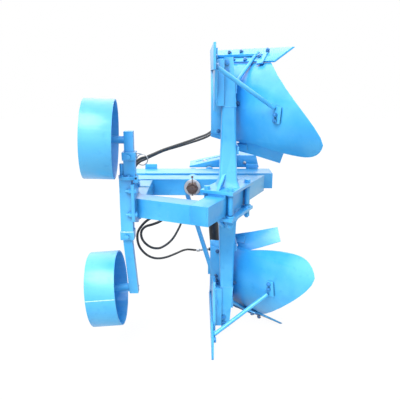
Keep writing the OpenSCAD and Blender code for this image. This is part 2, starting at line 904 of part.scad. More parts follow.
module cylinder_barrel() {
    eye_t = barrel_d - 2;
    color(BLACK)
        placed()
            cylinder_axes()
                difference() {
                    union() {
                        translate([0, 0, 40])
                            cylinder(d = barrel_d, h = barrel_length - 40);
                        translate([-19, -20, 0])
                            cube([38, 40, 42]);
                        along_y(0, -eye_t / 2, 0)
                            cylinder(r = 26, h = eye_t);
                        for (z = [port_low, port_high])
                            translate([-barrel_d / 2 - port_out, 0, z])
                                rotate([0, 90, 0])
                                    cylinder(d = 24, h = 16);
                    }
                    translate([0, 0, 56])
                        cylinder(d = barrel_d - 14, h = barrel_length);
                    along_y(0, -eye_t, 0)
                        cylinder(d = cylinder_pin_d + 2 * pin_gap, h = 2 * eye_t);
                    for (z = [port_low, port_high])
                        translate([-barrel_d / 2 - port_out - 1, 0, z])
                            rotate([0, 90, 0])
                                cylinder(d = 10, h = 12);
                }
}

module cylinder_gland() {
    color(BLACK)
        placed()
            cylinder_axes() {
                translate([0, 0, barrel_length - 28])
                    ring(barrel_d - 14, rod_d + 2 * pin_gap, 28);
                translate([0, 0, barrel_length])
                    ring(barrel_d + 6, rod_d + 2 * pin_gap, 16);
            }
}

module cylinder_rod() {
    piston_z = barrel_length - 80;
    color(STEEL)
        placed()
            cylinder_axes()
                difference() {
                    union() {
                        translate([0, 0, piston_z - 40])
                            cylinder(d = barrel_d - 14 - 0.1, h = 40);
                        translate([0, 0, piston_z - 1])
                            cylinder(d = rod_d, h = cylinder_reach - piston_z - 20);
                        along_y(0, -rod_eye_t / 2, cylinder_reach)
                            cylinder(r = eye_r, h = rod_eye_t);
                        along_y(0, seat_gap - rod_gap - rod_d / 2, cylinder_reach)
                            cylinder(d = cylinder_pin_d, h = rod_gap + rod_d / 2 + rod_eye_t / 2 + 10);
                        along_y(0, rod_eye_t / 2 + 6, cylinder_reach)
                            cylinder(d = cylinder_pin_d * 1.5, h = 6);
                    }
                    translate([0, 0, cylinder_reach + eye_r - 8])
                        cylinder(d = 6, h = 12);
                }
}

// Wheel post and its bolted plate
module post_plate() {
    color(PAINT)
        placed()
            post_flange(plate_x);
}

module post_bolts() {
    color(PAINT)
        placed() {
            for (b = plate_bolts)
                along_x(rear_end_x, b[0], b[1])
                    rotate([0, 180, 0])
                        bolted(16, 2 * post_plate_t, 16);
            along_y(upper_arm_x, post_y - sleeve_side / 2 - 6 - 16, band_z + 20)
                cylinder(d = 12, h = 16 + 6 + (sleeve_side - arm_side) / 2 - arm_gap / 2);
            along_y(upper_arm_x, post_y - sleeve_side / 2 - 6 - 24, band_z + 20)
                hex(19, 8);
            along_y(post_x, post_y - post_side / 2 - 4 - 12, (post_bottom_z + collar_z) / 2)
                cylinder(d = 12, h = 12 + 4 + post_wall + arm_gap / 2);
            along_y(post_x, post_y - post_side / 2 - 4 - 20, (post_bottom_z + collar_z) / 2)
                hex(19, 8);
        }
}

module wheel_post() {
    color(PAINT)
        placed()
            difference() {
                union() {
                    translate([post_x, post_y, post_bottom_z])
                        box_tube(post_side, post_side, post_top_z - post_bottom_z, post_wall);
                    translate([post_x, post_y, post_bottom_z])
                        box_tube(post_side + 8, post_side + 8, collar_z - post_bottom_z, post_wall + 4);
                }
                along_y(post_x, post_y - post_side, (post_bottom_z + collar_z) / 2)
                    cylinder(d = 12, h = post_side);
            }
}

// Round flange on the post's top, which carries the upper sleeve
module post_head() {
    head_h = head_top_z - post_top_z;
    inner = arm_side + arm_gap;
    color(PAINT)
        placed()
            difference() {
                union() {
                    translate([head_x, post_y, post_top_z])
                        cylinder(d = head_d, h = head_h);
                    for (a = head_bolts)
                        translate([head_x + 39 * cos(a), post_y + 39 * sin(a), head_top_z - 1])
                            cylinder(d = 12, h = 8);
                    translate([post_x + 40, post_y - 30, post_top_z - 16])
                        cube([24, 26, head_h + 16]);
                }
                translate([upper_arm_x - inner / 2, post_y - inner / 2, post_top_z + 6])
                    cube([inner, inner, head_h]);
                translate([post_x + 48, post_y - 31, post_top_z + 2])
                    cube([10, 28, 10]);
            }
}

module upper_sleeve() {
    inner = arm_side + arm_gap;
    wall = (sleeve_side - inner) / 2;
    band_h = sleeve_top_z - band_z;
    color(PAINT)
        placed()
            difference() {
                union() {
                    translate([upper_arm_x, post_y, head_top_z])
                        box_tube(sleeve_side, sleeve_side, sleeve_top_z - head_top_z, wall);
                    translate([upper_arm_x, post_y, band_z])
                        box_tube(sleeve_side + 12, sleeve_side + 12, band_h, wall + 6);
                    translate([upper_arm_x - sleeve_side / 2 - 10, post_y - 12, head_top_z])
                        cylinder(d = 24, h = 62);
                }
                along_y(upper_arm_x, post_y - sleeve_side, band_z + 20)
                    cylinder(d = 12, h = sleeve_side);
                translate([upper_arm_x - sleeve_side / 2 - 13, post_y - 12, head_top_z - 1])
                    cylinder(d = 10, h = 64);
                translate([upper_arm_x - inner / 2, post_y - inner / 2, head_top_z - 1])
                    cube([inner, inner, sleeve_top_z]);
            }
}

// Axle frames: the arm's outer face at the axle's centre, the wheel towards -X
module upper_axle() {
    translate([upper_arm_x - arm_side / 2, post_y, upper_axle_z])
        rotate([0, upper_camber, upper_toe])
            children();
}

module lower_axle() {
    translate([lower_axle_x, post_y, -lower_axle_z])
        rotate([0, -lower_lean, 0])
            translate([-arm_side / 2, 0, 0])
                children();
}

// Stub axle, its washer and end nut, from inside the arm outwards
module stub_axle() {
    rotate([0, -90, 0]) {
        translate([0, 0, -6])
            cylinder(d = axle_d, h = axle_length + 6);
        translate([0, 0, wheel_stand_off + hub_inset - 12])
            cylinder(d = hub_tube_d - 14, h = 10);
        translate([0, 0, wheel_stand_off + hub_inset + hub_tube_length + 0.4])
            cylinder(d = hub_tube_d - 8, h = 6);
        translate([0, 0, wheel_stand_off + hub_inset + hub_tube_length + 6.4])
            hex(50, 15);
    }
}

module upper_wheel_arm() {
    foot_z = post_top_z + 8;
    color(PAINT)
        placed() {
            translate([upper_arm_x - arm_side / 2, post_y - arm_side / 2, foot_z])
                cube([arm_side, arm_side, upper_arm_top - foot_z]);
            upper_axle()
                stub_axle();
        }
}

module lower_wheel_arm() {
    color(PAINT)
        placed() {
            translate([post_x, post_y + arm_side / 2, kink_z])
                rotate([90, 0, 0])
                    linear_extrude(arm_side)
                        polygon([[-arm_side / 2, 80 - kink_z], [arm_side / 2, 80 - kink_z],
                            [arm_side / 2, 0], [arm_side / 2 + arm_drift, -arm_drop],
                            [arm_drift - arm_side / 2, -arm_drop], [-arm_side / 2, 0]]);
            lower_axle()
                stub_axle();
        }
}

module wheel_rim() {
    rotate([0, -90, 0])
        translate([0, 0, wheel_stand_off]) {
            ring(wheel_d, wheel_d - 2 * rim_wall, wheel_width);
            translate([0, 0, disc_inset])
                ring(wheel_d - 2 * rim_wall, hub_tube_d, disc_t);
        }
}

module wheel_hub() {
    rotate([0, -90, 0])
        translate([0, 0, wheel_stand_off + hub_inset])
            ring(hub_tube_d, axle_d + 2 * axle_gap, hub_tube_length);
}

module upper_wheel() {
    color(PAINT)
        placed()
            upper_axle()
                wheel_rim();
}

module lower_wheel() {
    color(PAINT)
        placed()
            lower_axle()
                wheel_rim();
}

module upper_hub() {
    color(PAINT)
        placed()
            upper_axle()
                wheel_hub();
}

module lower_hub() {
    color(PAINT)
        placed()
            lower_axle()
                wheel_hub();
}

// Plough bottoms, drawn with the sole on z = 0 and the landside at its left
module share_body() {
    rise = share_t * cos(share_pitch);
    back = share_t * sin(share_pitch);
    flat = share_t / sin(share_pitch);
    intersection() {
        share_axes()
            translate([0, far / 2, 0])
                rotate([90, 0, 0])
                    linear_extrude(far)
                        polygon([[share_reach, 0], [share_back_u, share_h],
                            [share_back_u - back, share_h - rise], [share_reach - flat, 0]]);
        translate([0, share_shift, 0])
            linear_extrude(share_h + 1)
                polygon([[landside_x, 600], [landside_x, 950], [140, 950], [465, 474], [465, 458],
                    [340, 404], [300, 404]]);
    }
}

// Cylinder of the mouldboard's curve, of any radius, along the share's edge
module board_curve(r) {
    share_axes()
        translate([board_centre_u, 0, board_centre_h])
            rotate([90, 0, 0])
                cylinder(r = r, h = far, center = true, $fn = 96);
}

module board_shell(outer, inner) {
    difference() {
        board_curve(outer);
        board_curve(inner);
        share_axes()
            translate([board_centre_u - 60, -far / 2, -far / 2])
                cube(far);
    }
}

module board_body() {
    intersection() {
        board_shell(board_r, board_r - board_t);
        translate([0, far, 0])
            rotate([90, 0, 0])
                linear_extrude(far * 1.5)
                    polygon(board_outline);
        translate([-far / 2, -far / 2, share_h + seat_gap])
            cube(far);
    }
}

// Everything behind the share and the mouldboard, for what bolts to their backs
module behind_body() {
    rise = (share_t + seat_gap) * cos(share_pitch);
    flat = (share_t + seat_gap) / sin(share_pitch);
    back = (share_t + seat_gap) * sin(share_pitch);
    difference() {
        children();
        board_curve(board_r + seat_gap);
        share_axes()
            translate([0, far / 2, 0])
                rotate([90, 0, 0])
                    linear_extrude(far)
                        polygon([[share_reach - flat, -1], [share_back_u - back, share_h - rise],
                            [share_back_u - back, share_h + 2], [share_back_u + far, share_h + 2],
                            [share_back_u + far, -1]]);
    }
}

module landside_body() {
    behind_body()
        translate([landside_x, heel_y, 0])
            cube([landside_t, 900 + share_shift, landside_h]);
}

module shin_body() {
    intersection() {
        board_shell(board_r + seat_gap + shin_t, board_r + seat_gap);
        translate([0, far, 0])
            rotate([90, 0, 0])
                linear_extrude(far * 1.5)
                    polygon([[landside_x, landside_h + 4], [landside_x + 6, 330], [landside_x, 470],
                        [landside_x + 54, 470], [landside_x + 60, 330], [landside_x + 56, landside_h + 4]]);
    }
}

shin_t = 9;
leg_rear_y = leg_y - leg_depth / 2;
web_x = landside_x + landside_t;

// Space that the shin strip takes behind the mouldboard's landside edge
module shin_room() {
    intersection() {
        board_curve(board_r + shin_t + 2 * seat_gap);
        translate([landside_x - 1, 0, landside_h + 3])
            cube([62, far, far]);
    }
}

// Tapered foot of the leg, grown by a gap, down to any height
module leg_foot(gap, bottom) {
    right = leg_foot_left + leg_foot_width;
    translate([0, leg_rear_y + leg_depth + gap, 0])
        rotate([90, 0, 0])
            linear_extrude(leg_depth + 2 * gap)
                polygon([[leg_foot_left - gap, bottom], [right + gap, bottom], [right + gap, leg_foot_h],
                    [leg_x + 37 + gap, leg_step_h + 2], [leg_x - 37 - gap, leg_step_h + 2],
                    [leg_foot_left - gap, leg_foot_h]]);
}

// Casting behind the mouldboard: a wall on the landside, an upright, a block and a bar behind the share
module frog_body() {
    behind_body()
        difference() {
            union() {
                translate([web_x, 0, 0])
                    rotate([90, 0, 90])
                        linear_extrude(14)
                            polygon([[250, 16], [900 + share_shift, 16], [900 + share_shift, 200],
                                [470, 236], [420, 330], [330, 330], [250, 140]]);
                translate([web_x + 10, leg_rear_y - 10, 70])
                    cube([leg_foot_left - web_x - 10, 44, 230]);
                translate([web_x + 10, leg_rear_y + leg_depth - 10, 150])
                    cube([leg_foot_left + leg_foot_width - web_x, 240, 88]);
                share_axes()
                    translate([share_reach - 92, 165, 33])
                        cube([40, 365, 13]);
                frog_stay();
            }
            leg_foot(0, -1);
            shin_room();
            translate([web_x + 14, leg_rear_y - 60, leg_step_h])
                cube([60, leg_depth + 120, 300]);
        }
}

stay_foot = [132, 356, 205];
stay_head = [280, 564, 24];

// Sloping stay from the leg's side down to the strap that is bolted to the share's back
module frog_stay() {
    way = stay_head - stay_foot;
    translate(stay_foot)
        rotate([0, acos(way[2] / norm(way)), atan2(way[1], way[0])])
            translate([0, 0, -6])
                cylinder(d = 20, h = norm(way) + 10);
    translate([leg_foot_left + leg_foot_width, leg_rear_y + 12, 172])
        cube([22, 56, 66]);
    on_share(69, 159)
        rotate([0, 0, -17])
            translate([-92, -19, 0])
                cube([136, 38, 8]);
}

// Rounded block of one level of the leg's stem
module stem_level(half_width, half_depth, h) {
    for (sx = [-1, 1])
        for (sy = [-1, 1])
            translate([leg_x + sx * (half_width - 14), leg_y + sy * (half_depth - 14), h])
                cylinder(r = 14, h = 2, $fn = 32);
}

module leg_body() {
    stem_top = clamp_low_h + 2;
    difference() {
        union() {
            leg_foot(0, leg_foot_h);
            hull() {
                stem_level(37, leg_depth / 2, leg_step_h);
                stem_level(41, leg_depth / 2, board_top_h - 13);
            }
            hull() {
                stem_level(41, leg_depth / 2, board_top_h - 13);
                stem_level(48, leg_depth / 2 + 10, stem_top - 40);
            }
            hull() {
                stem_level(48, leg_depth / 2 + 10, stem_top - 40);
                stem_level(64, leg_depth / 2 + 26, stem_top - 2);
            }
            clamp_plate();
            clamp_web();
        }
        clamp_holes();
    }
}

// Base flange that bears on the main beam
module clamp_plate() {
    skewed() {
        translate([-half_tube - clamp_n - 25, clamp_t - clamp_half_t - 34, clamp_low_h])
            cube([2 * clamp_n + 50, 2 * clamp_half_t + 68, clamp_plate_t * 0.55]);
        translate([-tube_side, clamp_t - clamp_half_t + 40, clamp_low_h])
            cube([tube_side, 2 * clamp_half_t - 80, clamp_plate_t]);
        for (s = [-1, 1])
            translate([-tube_side, clamp_t + s * clamp_half_t - 30, clamp_low_h])
                cube([tube_side, 60, clamp_plate_t]);
        for (sn = [-1, 1])
            for (st = [-1, 1])
                translate([sn * clamp_n - half_tube, clamp_t + st * clamp_half_t, clamp_low_h])
                    cylinder(d = 48, h = clamp_plate_t - 3);
    }
}

// Web along the beam from the flange up to the stem, with its triangular opening
module clamp_web() {
    skewed()
        translate([-half_tube + 8, 0, 0])
            rotate([90, 0, -90])
                linear_extrude(16)
                    difference() {
                        polygon([[-clamp_t - clamp_half_t - 24, clamp_low_h + 4],
                            [-clamp_t - 24, clamp_low_h - 96], [-clamp_t + 24, clamp_low_h - 96],
                            [-clamp_t + clamp_half_t + 24, clamp_low_h + 4]]);
                        polygon([[-clamp_t + 56, clamp_low_h - 8], [-clamp_t + 56, clamp_low_h - 54],
                            [-clamp_t + clamp_half_t - 14, clamp_low_h - 8]]);
                    }
}

module clamp_holes() {
    skewed()
        for (sn = [-1, 1])
            for (st = [-1, 1])
                translate([sn * clamp_n - half_tube, clamp_t + st * clamp_half_t, clamp_low_h - 40])
                    cylinder(d = clamp_bolt_d, h = 90);
}

// Four clamp places in frame coordinates
module at_clamp_bolts() {
    skewed()
        for (sn = [-1, 1])
            for (st = [-1, 1])
                translate([sn * clamp_n - half_tube, clamp_t + st * clamp_half_t, 0])
                    children();
}

clamp_seat = half_tube + clamp_plate_t;

module clamp_bolts() {
    color(PAINT)
        placed()
            at_clamp_bolts() {
                translate([0, 0, -clamp_seat - 46])
                    cylinder(d = clamp_bolt_d, h = 2 * clamp_seat + 46);
                translate([0, 0, clamp_seat + 3])
                    hex(clamp_bolt_d * 1.5, 13);
                translate([0, 0, clamp_seat])
                    cylinder(d = clamp_bolt_d * 1.9, h = 3);
            }
}

// Spacer tubes round the clamp bolts beside the main beam
module clamp_spacers() {
    color(PAINT)
        placed()
            at_clamp_bolts()
                translate([0, 0, seat_gap - half_tube])
                    ring(clamp_bolt_d + 12, clamp_bolt_d + 2 * seat_gap, tube_side - 2 * seat_gap);
}

module clamp_nuts() {
    color(PAINT)
        placed()
            at_clamp_bolts()
                for (z = [clamp_seat, clamp_seat + 20])
                    translate([0, 0, -z - 18])
                        nut(clamp_bolt_d, 18);
}

bracket_x = 156;
bracket_h = 516;

module trash_board_body() {
    lean = 23.4;
    turn = 21.2;
    translate([191, 450, 463])
        rotate([0, 0, -turn])
            rotate([-lean, 0, 0])
                rotate([90, 0, 0])
                    translate([0, 0, -6])
                        linear_extrude(6)
                            polygon([[0, 0], [-22, 56], [-90, 62], [-100, 92], [60, 132],
                                [205, 175.5], [234, 94], [120, 45]]);
    translate([191, 450, 463])
        rotate([0, 0, -turn])
            rotate([-lean, 0, 0])
                translate([-36, -8, 60])
                    cube([60, 9, 40]);
    translate([bracket_x, leg_y - 20, bracket_h])
        cube([12, 152, 40]);
}

module brace_body() {
    delta = brace_head - brace_foot;
    run = sqrt(delta[0] * delta[0] + delta[1] * delta[1]);
    reach = sqrt(run * run + delta[2] * delta[2]);
    behind_body() {
        difference() {
            union() {
                translate(brace_foot)
                    rotate([0, 90 - atan2(delta[2], run), atan2(delta[1], delta[0])])
                        cylinder(d = brace_d, h = reach - 12);
                translate([web_x, brace_foot[1] - 20, brace_foot[2] - 26])
                    cube([10, 44, 34]);
            }
            translate([web_x - far, -far / 2, -far / 2])
                cube(far);
            translate([web_x - 1, brace_foot[1] - 10, brace_foot[2] - 16])
                rotate([0, 90, 0])
                    cylinder(d = 5, h = 4);
        }
        intersection() {
            board_shell(board_r + seat_gap + 10, board_r + seat_gap);
            translate([0, far, 0])
                rotate([90, 0, 0])
                    linear_extrude(far * 1.5)
                        polygon([[334, 296], [330, 380], [356, 384], [362, 300]]);
        }
    }
}

// Nut and bolt end standing out of the mouldboard's back at an angle of its curve
module board_bolt(angle, v, stand) {
    share_axes()
        translate([board_centre_u, v, board_centre_h])
            rotate([0, -angle, 0])
                translate([-board_r - stand, 0, 0])
                    rotate([0, -90, 0]) {
                        hex(21, 10);
                        cylinder(d = 14, h = 16);
                    }
}

// On the share's back at a distance behind its edge and along it, with +Z out of the back
module on_share(behind, v) {
    share_axes()
        translate([share_reach - behind, v, behind * tan(share_pitch)])
            rotate([0, share_pitch, 0])
                translate([0, 0, -share_t - seat_gap])
                    rotate([180, 0, 0])
                        children();
}

module bottom_bolts() {
    for (b = share_bolts)
        on_share(b[0], b[1])
            translate([0, 0, b[2]]) {
                hex(21, 9);
                cylinder(d = 14, h = 15);
            }
    board_bolt(-17, 326, seat_gap + 9);
    board_bolt(9, 326, seat_gap + 9);
    board_bolt(14.5, 326, seat_gap + 9);
    board_bolt(10, 186, seat_gap);
    board_bolt(1.8, -72, seat_gap + 10);
    board_bolt(-2.8, -70, seat_gap + 10);
    along_x(web_x, heel_y + 22, landside_h - 14)
        hex(27, 12);
    along_x(web_x, 210, landside_h / 2)
        hex(24, 10);
    for (h = [84, 122])
        along_y(leg_foot_left + 13, leg_rear_y - 10, h)
            hex(22, 10);
}

module upper_leg() {
    color(PAINT)
        placed()
            upper_bottom()
                leg_body();
}

module lower_leg() {
    color(PAINT)
        placed()
            lower_bottom()
                leg_body();
}

module upper_frog() {
    color(PAINT)
        placed()
            upper_bottom()
                frog_body();
}

module lower_frog() {
    color(PAINT)
        placed()
            lower_bottom()
                frog_body();
}

module upper_share() {
    color(PAINT)
        placed()
            upper_bottom()
                share_body();
}

module lower_share() {
    color(PAINT)
        placed()
            lower_bottom()
                share_body();
}

module upper_mouldboard() {
    color(PAINT)
        placed()
            upper_bottom()
                board_body();
}

module lower_mouldboard() {
    color(PAINT)
        placed()
            lower_bottom()
                board_body();
}

module both_bottoms() {
    lower_bottom()
        children();
    upper_bottom()
        children();
}

module trash_boards() {
    color(PAINT)
        placed()
            both_bottoms()
                trash_board_body();
}

module landsides() {
    color(PAINT)
        placed()
            both_bottoms()
                landside_body();
}

module shin_strips() {
    color(PAINT)
        placed()
            both_bottoms()
                shin_body();
}

module brace_rods() {
    color(PAINT)
        placed()
            both_bottoms()
                brace_body();
}

module plough_bolts() {
    color(PAINT)
        placed()
            both_bottoms()
                bottom_bolts();
}

// Hose swept along its route's own points
function unit(v) = v / norm(v);

function heading(line, i) = unit(line[min(len(line) - 1, i + 1)] - line[max(0, i - 1)]);

// Side vector of each ring, carried along so that the tube doesn't twist
function carried(line, i, side) = i == len(line) ? [] : let (t = heading(line, i),
    s = unit(side - (side * t) * t)) concat([[s, cross(t, s)]], carried(line, i + 1, s));

module tube_along(line, d, sides) {
    frames = carried(line, 0, [0, 0.1, 1]);
    rings = len(line);
    points = [for (i = [0:rings - 1]) for (k = [0:sides - 1])
        line[i] + d / 2 * (cos(360 * k / sides) * frames[i][0] + sin(360 * k / sides) * frames[i][1])];
    sides_faces = [for (i = [0:rings - 2]) for (k = [0:sides - 1]) for (half = [0, 1])
        let (a = i * sides + k, b = i * sides + (k + 1) % sides)
        half == 0 ? [a, b, b + sides] : [a, b + sides, a + sides]];
    start_cap = [for (k = [1:sides - 2]) [0, k + 1, k]];
    last = (rings - 1) * sides;
    end_cap = [for (k = [1:sides - 2]) [last, last + k, last + k + 1]];
    polyhedron(points = points, faces = concat(sides_faces, start_cap, end_cap));
}

module hoses() {
    color(BLACK)
        placed() {
            tube_along(outer_hose, hose_d, 8);
            tube_along(inner_hose, hose_d, 8);
        }
}

// Straight fitting from one point to another, with a hexagon at its start
module fitting(from, to, d) {
    way = unit(to - from);
    translate(from)
        rotate([0, acos(way[2]), atan2(way[1], way[0])]) {
            cylinder(d = d, h = norm(to - from));
            cylinder(d = d + 8, h = 24);
        }
}

// Fitting between a hose's last point and a port, a gap short of either
module hose_end(route, port) {
    last = route[len(route) - 1];
    way = unit(port - last);
    fitting(last + way * 1.5, port - way * 0.3, hose_d + 2);
}

// Quick couplers parked on the mast
module hose_couplers() {
    color(STEEL)
        placed()
            for (route = [outer_hose, inner_hose]) {
                translate(route[0])
                    cylinder(d = coupler_d, h = 52);
                translate(route[0] + [0, 0, coupler_rest_z - outer_hose[0][2] + holder_t])
                    cylinder(d = coupler_d + 10, h = 14);
            }
}

// Fittings between the hoses and the cylinder's ports
module hose_elbows() {
    color(STEEL)
        placed() {
            hose_end(outer_hose, port_place(port_low));
            hose_end(inner_hose, port_place(port_high));
        }
}

tie_r = 30;
tie_d = 6;
tie_y = 385;
tie_z = 216.5;
wire_slope = 10.5;

// Wire loop that holds both hoses beside the upper sleeve
module hose_tie() {
    x = upper_arm_x + sleeve_side / 2 + 6 + seat_gap + tie_d / 2;
    color(STEEL)
        placed() {
            along_y(x, tie_y, tie_z)
                rotate_extrude()
                    translate([tie_r, 0])
                        circle(d = tie_d, $fn = 16);
            translate([x, tie_y, tie_z + tie_r])
                rotate([90 - wire_slope, 0, 0])
                    cylinder(d = tie_d, h = 226);
        }
}

hitch_beam();
slotted_gusset();
headstock_bolts();
mast();
lower_link_brackets();
lower_link_pins();
bearing_hub();
bearing_bushes();
cylinder_strut();
cylinder_base_pin();
stand_sleeve();
stand_pin();
stand_tube();
stand_foot();
turnover_shaft();
thrust_washer();
castle_nut();
split_pin();
crank_lever();
main_beam();
rear_beam();
front_beam();
shaft_boss();
side_rail();
beam_caps();
post_plate();
post_bolts();
wheel_post();
post_head();
upper_sleeve();
upper_leg();
lower_leg();
clamp_bolts();
clamp_spacers();
clamp_nuts();
upper_frog();
lower_frog();
upper_share();
lower_share();
upper_mouldboard();
lower_mouldboard();
trash_boards();
landsides();
shin_strips();
brace_rods();
plough_bolts();
upper_wheel_arm();
lower_wheel_arm();
upper_wheel();
lower_wheel();
upper_hub();
lower_hub();
cylinder_barrel();
cylinder_gland();
cylinder_rod();
hoses();
hose_couplers();
hose_elbows();
hose_tie();
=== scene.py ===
"""Looks of the reversible plough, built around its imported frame. Lengths are metres."""

import math
import random

import bmesh
import bpy
from mathutils import Matrix, Vector
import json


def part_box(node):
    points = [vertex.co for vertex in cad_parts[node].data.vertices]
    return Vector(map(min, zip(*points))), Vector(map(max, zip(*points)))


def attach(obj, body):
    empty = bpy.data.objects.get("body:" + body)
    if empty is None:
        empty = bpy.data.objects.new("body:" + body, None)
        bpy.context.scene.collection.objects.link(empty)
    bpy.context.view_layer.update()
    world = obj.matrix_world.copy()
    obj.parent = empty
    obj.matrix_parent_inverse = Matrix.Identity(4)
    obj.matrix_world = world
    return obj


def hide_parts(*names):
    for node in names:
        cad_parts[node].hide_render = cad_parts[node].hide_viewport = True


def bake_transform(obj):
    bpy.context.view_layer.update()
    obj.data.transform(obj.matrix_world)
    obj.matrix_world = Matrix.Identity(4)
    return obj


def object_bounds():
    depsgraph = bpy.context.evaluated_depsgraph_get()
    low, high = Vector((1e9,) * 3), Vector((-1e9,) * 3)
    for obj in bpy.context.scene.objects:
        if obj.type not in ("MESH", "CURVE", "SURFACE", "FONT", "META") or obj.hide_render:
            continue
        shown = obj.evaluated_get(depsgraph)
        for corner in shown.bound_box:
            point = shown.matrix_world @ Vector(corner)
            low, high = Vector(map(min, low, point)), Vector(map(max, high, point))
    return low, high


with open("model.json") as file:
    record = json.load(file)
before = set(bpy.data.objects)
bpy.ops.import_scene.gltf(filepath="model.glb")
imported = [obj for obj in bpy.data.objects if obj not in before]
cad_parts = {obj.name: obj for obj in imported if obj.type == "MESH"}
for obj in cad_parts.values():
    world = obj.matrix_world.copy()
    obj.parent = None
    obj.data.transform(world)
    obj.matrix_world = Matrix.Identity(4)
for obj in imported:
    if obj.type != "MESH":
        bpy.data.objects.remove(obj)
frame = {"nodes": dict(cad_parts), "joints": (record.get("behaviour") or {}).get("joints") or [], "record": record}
bpy.context.scene.view_settings.view_transform = "Standard"
CAD_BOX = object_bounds()
JOINTS = {joint["name"]: joint for joint in frame["joints"]}

# The frame's rear corner on the turnover axis, from which places are measured
AXIS_X = -0.086
HITCH_BEAM_Y = 0.845
turnover_place = Vector(JOINTS["turnover"]["pos_m"])
CORNER = Vector((turnover_place.x - AXIS_X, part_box("hitch_beam")[0].y - HITCH_BEAM_Y, turnover_place.z))

# Hoses: points of their routes, from the couplers on the mast to the cylinder's ports
HOSE_D = 0.014
OUTER_HOSE = [
    (0.084, 1.070, 0.404), (0.084, 1.070, 0.376), (0.081, 1.062, 0.346), (0.070, 1.038, 0.318),
    (0.048, 1.000, 0.296), (0.010, 0.940, 0.276), (-0.040, 0.890, 0.262), (-0.084, 0.840, 0.254),
    (-0.165, 0.720, 0.244), (-0.245, 0.600, 0.236), (-0.300, 0.520, 0.222), (-0.345, 0.440, 0.210),
    (-0.368, 0.385, 0.206), (-0.386, 0.338, 0.190), (-0.394, 0.314, 0.158), (-0.395, 0.310, 0.116),
    (-0.395, 0.310, 0.060), (-0.395, 0.310, 0.000), (-0.395, 0.311, -0.034), (-0.393, 0.319, -0.056),
    (-0.390, 0.336, -0.070), (-0.386, 0.360, -0.076), (-0.380, 0.392, -0.079), (-0.363, 0.433, -0.082),
    (-0.322, 0.450, -0.085), (-0.281, 0.433, -0.088), (-0.264, 0.392, -0.091), (-0.281, 0.351, -0.096),
    (-0.316, 0.335, -0.105), (-0.353, 0.346, -0.136), (-0.389, 0.370, -0.192), (-0.397, 0.400, -0.254),
    (-0.388, 0.440, -0.314), (-0.361, 0.500, -0.377), (-0.327, 0.570, -0.425), (-0.290, 0.650, -0.459),
    (-0.249, 0.750, -0.486), (-0.201, 0.850, -0.501), (-0.158, 0.935, -0.511), (-0.130, 1.003, -0.529),
    (-0.105, 1.042, -0.544), (-0.082, 1.055, -0.5513), (-0.0664, 1.0556, -0.5528),
]
INNER_HOSE = [
    (0.084, 1.036, 0.404), (0.084, 1.036, 0.380), (0.080, 1.028, 0.352), (0.066, 1.004, 0.330),
    (0.042, 0.966, 0.312), (0.000, 0.905, 0.292), (-0.050, 0.850, 0.280), (-0.100, 0.780, 0.270),
    (-0.175, 0.670, 0.258), (-0.250, 0.560, 0.246), (-0.300, 0.480, 0.234), (-0.335, 0.410, 0.228),
    (-0.362, 0.360, 0.226), (-0.390, 0.328, 0.208), (-0.407, 0.314, 0.172), (-0.413, 0.310, 0.130),
    (-0.414, 0.310, 0.080), (-0.414, 0.310, 0.000), (-0.414, 0.312, -0.034), (-0.412, 0.326, -0.062),
    (-0.408, 0.354, -0.076), (-0.402, 0.392, -0.082), (-0.379, 0.449, -0.088), (-0.322, 0.472, -0.094),
    (-0.265, 0.449, -0.100), (-0.242, 0.392, -0.106), (-0.246, 0.352, -0.113), (-0.268, 0.334, -0.124),
    (-0.304, 0.330, -0.137), (-0.340, 0.336, -0.150), (-0.364, 0.350, -0.176), (-0.372, 0.370, -0.212),
    (-0.366, 0.400, -0.254), (-0.348, 0.430, -0.290), (-0.324, 0.465, -0.320), (-0.298, 0.500, -0.338),
    (-0.273, 0.540, -0.347), (-0.238, 0.600, -0.343), (-0.206, 0.660, -0.325), (-0.176, 0.740, -0.290),
    (-0.158, 0.810, -0.262), (-0.146, 0.880, -0.240), (-0.134, 0.950, -0.222), (-0.112, 1.010, -0.208),
    (-0.084, 1.044, -0.2025), (-0.058, 1.0546, -0.201), (-0.0381, 1.0556, -0.1995),
]


def place(point):
    """A place measured from the frame's rear corner, in the row frame."""
    return CORNER + Vector(point)


# Camera

CAMERA_PLACE = (-0.0395, -2.2636, 0.664)
CAMERA_PITCH = 14.3
CAMERA_LENS = 44.1
FILM_WIDTH = 36
VIEW_REACH = 60


def make_camera():
    data = bpy.data.cameras.new("camera")
    data.sensor_width = FILM_WIDTH
    data.lens = CAMERA_LENS
    data.clip_end = VIEW_REACH
    camera = bpy.data.objects.new("camera", data)
    camera.location = place(CAMERA_PLACE)
    camera.rotation_euler = (math.radians(90 - CAMERA_PITCH), 0, 0)
    bpy.context.scene.collection.objects.link(camera)
    bpy.context.scene.camera = camera


make_camera()

# Finishes


class Socket:
    """A shader node's output that Python's signs of arithmetic work on."""

    def __init__(self, finish, output):
        self.finish = finish
        self.output = output

    def math(self, operation, first, second):
        return self.finish.node("ShaderNodeMath", {"operation": operation}, {0: first, 1: second})

    def __add__(self, other):
        return self.math("ADD", self, other)

    __radd__ = __add__

    def __mul__(self, other):
        return self.math("MULTIPLY", self, other)

    __rmul__ = __mul__

    def __sub__(self, other):
        return self.math("SUBTRACT", self, other)

    def __rsub__(self, other):
        return self.math("SUBTRACT", other, self)


